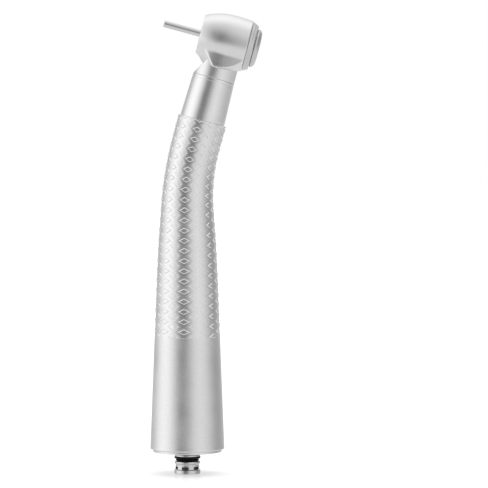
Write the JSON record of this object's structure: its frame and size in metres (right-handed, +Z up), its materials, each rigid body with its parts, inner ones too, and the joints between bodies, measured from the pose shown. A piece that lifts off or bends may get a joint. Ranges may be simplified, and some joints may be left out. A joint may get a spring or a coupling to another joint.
{
  "type": "high speed dental handpiece",
  "caption": "Slim angled dental turbine handpiece with a knurled grip, a push-button head, a straight bur and a rear coupling stub.",
  "frame": {"origin": "centre of the end face of the coupling stub, at the rear end of the handpiece", "axes": "+Z up along the rear handle's axis, from the stub to the head; the handle bends towards +X in the XZ plane, and the bur points to -X"},
  "size_m": [0.0263, 0.0174, 0.1075],
  "materials": {
    "satin_steel": "fine bead-blasted satin",
    "polished_chrome": "polished",
    "plated_brass": "machined",
    "black_rubber": "smooth moulded",
    "glass_rod": "polished ends",
    "cage_polymer": "matte",
    "hardened_steel": "ground"
  },
  "bodies": {
    "housing": {"button_spring": "hardened_steel", "chip_air_tube": "satin_steel", "coupling_stub": "polished_chrome", "drive_air_tube": "satin_steel", "end_ring": "satin_steel", "front_bearing_outer_race": "hardened_steel", "front_bearing_shield": "satin_steel", "front_damping_oring": "black_rubber", "handle_sleeve": "satin_steel", "head_cap": "satin_steel", "head_housing": "satin_steel", "joint_body": "plated_brass", "light_guide": "glass_rod", "neck_sleeve": "satin_steel", "rear_bearing_outer_race": "hardened_steel", "rear_bearing_shield": "satin_steel", "rear_damping_oring": "black_rubber", "spring_washer": "hardened_steel", "stub_oring_lower": "black_rubber", "stub_oring_upper": "black_rubber", "water_tube": "satin_steel"},
    "rotor": {"spindle": "hardened_steel", "impeller": "hardened_steel", "chuck_collet": "hardened_steel", "chuck_spring": "hardened_steel", "front_bearing_inner_race": "hardened_steel", "rear_bearing_inner_race": "hardened_steel"},
    "front_cage": {"front_ball_1": "hardened_steel", "front_ball_2": "hardened_steel", "front_ball_3": "hardened_steel", "front_ball_4": "hardened_steel", "front_ball_5": "hardened_steel", "front_ball_6": "hardened_steel", "front_ball_7": "hardened_steel", "front_bearing_cage": "cage_polymer"},
    "rear_cage": {"rear_ball_1": "hardened_steel", "rear_ball_2": "hardened_steel", "rear_ball_3": "hardened_steel", "rear_ball_4": "hardened_steel", "rear_ball_5": "hardened_steel", "rear_ball_6": "hardened_steel", "rear_ball_7": "hardened_steel", "rear_bearing_cage": "cage_polymer"},
    "button": {"push_button": "satin_steel"},
    "release_pin": {"release_pin": "hardened_steel"},
    "bur": {"bur": "hardened_steel"}
  },
  "joints": [
    {"name": "rotor_spin", "type": "hinge", "parent": "housing", "child": "rotor", "pos_m": [0.00861, 0, 0.10134], "axis": [0.965, 0, -0.2622], "continuous": true},
    {"name": "front_cage_spin", "type": "hinge", "parent": "housing", "child": "front_cage", "pos_m": [0.00861, 0, 0.10134], "axis": [0.965, 0, -0.2622], "continuous": true},
    {"name": "rear_cage_spin", "type": "hinge", "parent": "housing", "child": "rear_cage", "pos_m": [0.00861, 0, 0.10134], "axis": [0.965, 0, -0.2622], "continuous": true},
    {"name": "button_press", "type": "slide", "parent": "housing", "child": "button", "axis": [-0.965, 0, 0.2622], "range_m": [0, 0.0005], "stiffness_N_per_m": 6000, "springref_m": -0.0003, "deforming": ["button_spring"]},
    {"name": "release_pin_press", "type": "slide", "parent": "rotor", "child": "release_pin", "axis": [-0.965, 0, 0.2622], "range_m": [0, 0.0005], "deforming": ["chuck_spring"]},
    {"name": "bur_pull", "type": "slide", "parent": "rotor", "child": "bur", "axis": [-0.965, 0, 0.2622], "range_m": [0, 0.012]}
  ],
  "couplings": [
    {"joint": "front_cage_spin", "follows": "rotor_spin", "ratio": 0.4},
    {"joint": "rear_cage_spin", "follows": "rotor_spin", "ratio": 0.4},
    {"joint": "release_pin_press", "follows": "button_press", "ratio": 1}
  ]
}
